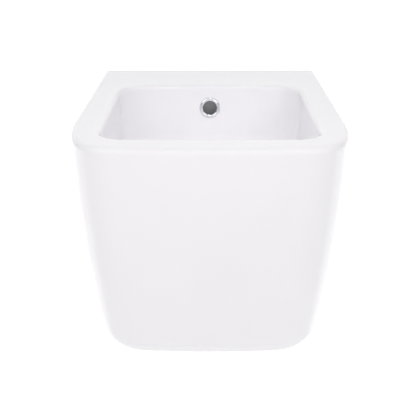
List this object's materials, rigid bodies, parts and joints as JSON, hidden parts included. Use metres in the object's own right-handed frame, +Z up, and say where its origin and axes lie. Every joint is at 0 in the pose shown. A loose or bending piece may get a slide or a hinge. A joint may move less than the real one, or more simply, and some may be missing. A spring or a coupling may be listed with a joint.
{
  "type": "wall-hung bidet",
  "caption": "White ceramic bidet hung on a wall, with a deep rounded basin, an overflow ring, a push-to-close waste and a bottle trap hidden under it.",
  "frame": {"origin": "on the wall plane, midway between the two studs that carry the ceramic, 75 mm below the deck", "axes": "+Z up, +Y into the wall along the studs, -Y out to the front of the basin, +X to the right of a person who faces the wall"},
  "size_m": [0.36, 0.56, 0.296],
  "materials": {
    "china": "glossy white glaze",
    "chrome": "bright chrome plate",
    "black_rubber": "matt moulded rubber",
    "brass": "machined brass",
    "grey_plastic": "moulded acetal",
    "spring_steel": "drawn stainless wire",
    "white_plastic": "moulded polypropylene, semi-gloss",
    "zinc_steel": "zinc-plated steel"
  },
  "bodies": {
    "bidet": {"ceramic_shell": "china", "ceramic_bowl": "china", "overflow_ring": "chrome", "waste_body": "chrome", "waste_top_seal": "black_rubber", "waste_lower_gasket": "black_rubber", "waste_slip_washer": "grey_plastic", "waste_back_nut": "brass", "cartridge_spring": "spring_steel", "cartridge_housing": "grey_plastic", "cartridge_cap": "grey_plastic", "trap_inlet_nut": "white_plastic", "trap_inlet_seal": "black_rubber", "trap_dip_tube": "white_plastic", "trap_body": "white_plastic", "trap_cup": "white_plastic", "trap_cup_seal": "black_rubber", "trap_outlet_nut": "white_plastic", "trap_outlet_seal": "black_rubber", "outlet_pipe": "white_plastic", "wall_rosette": "white_plastic", "wall_studs": "zinc_steel", "stud_sleeves": "grey_plastic", "stud_washers": "zinc_steel", "stud_nuts": "zinc_steel"},
    "plug": {"plug_cap": "chrome", "plug_seal": "black_rubber", "plug_stem": "brass", "latch_rotor": "grey_plastic"}
  },
  "joints": [
    {"name": "plug_slide", "type": "slide", "parent": "bidet", "child": "plug", "axis": [0, 0, 1], "range_m": [-0.009, 0], "stiffness_N_per_m": 600, "springref_m": 0.012, "deforming": ["cartridge_spring"]}
  ]
}
